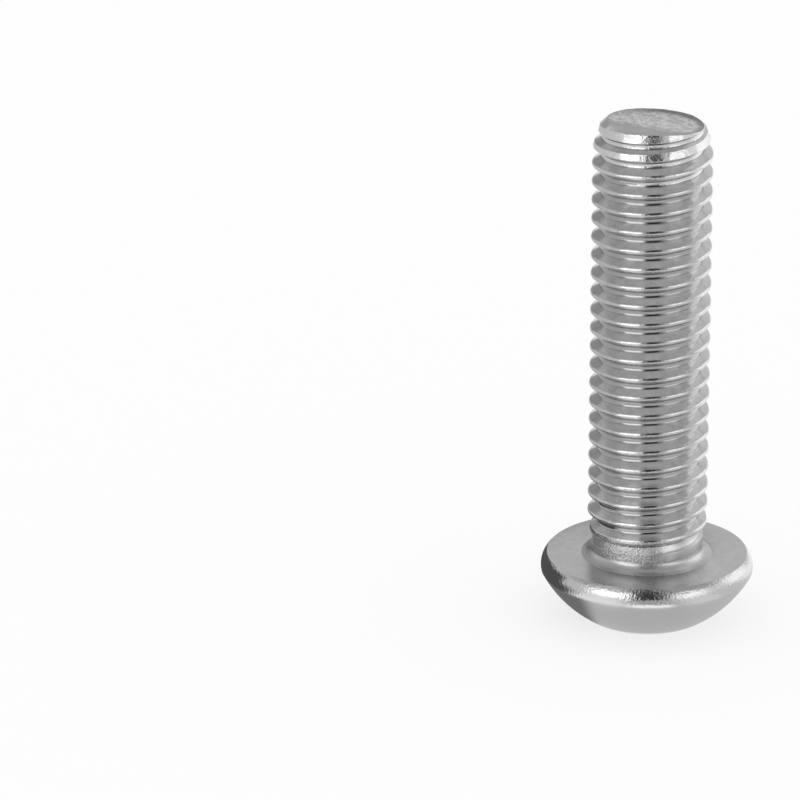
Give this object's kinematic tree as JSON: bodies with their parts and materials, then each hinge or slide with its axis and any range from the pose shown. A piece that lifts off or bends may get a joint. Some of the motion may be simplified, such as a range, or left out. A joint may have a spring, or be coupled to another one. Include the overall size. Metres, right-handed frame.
{
  "type": "button head socket screw",
  "caption": "Low domed screw with a hexagon socket, a flat bearing face and a right-hand thread along its whole shank.",
  "frame": {"origin": "on the axis, in the plane of the flat ring on the crown, on which the screw stands", "axes": "+Z along the axis, from the crown of the head to the tip of the thread"},
  "size_m": [0.0138, 0.0138, 0.0341],
  "materials": {
    "stainless": "satin cold-formed stainless steel with a tumbled rim band and a bright rolled thread"
  },
  "bodies": {
    "root": {"screw": "stainless"}
  },
  "joints": []
}
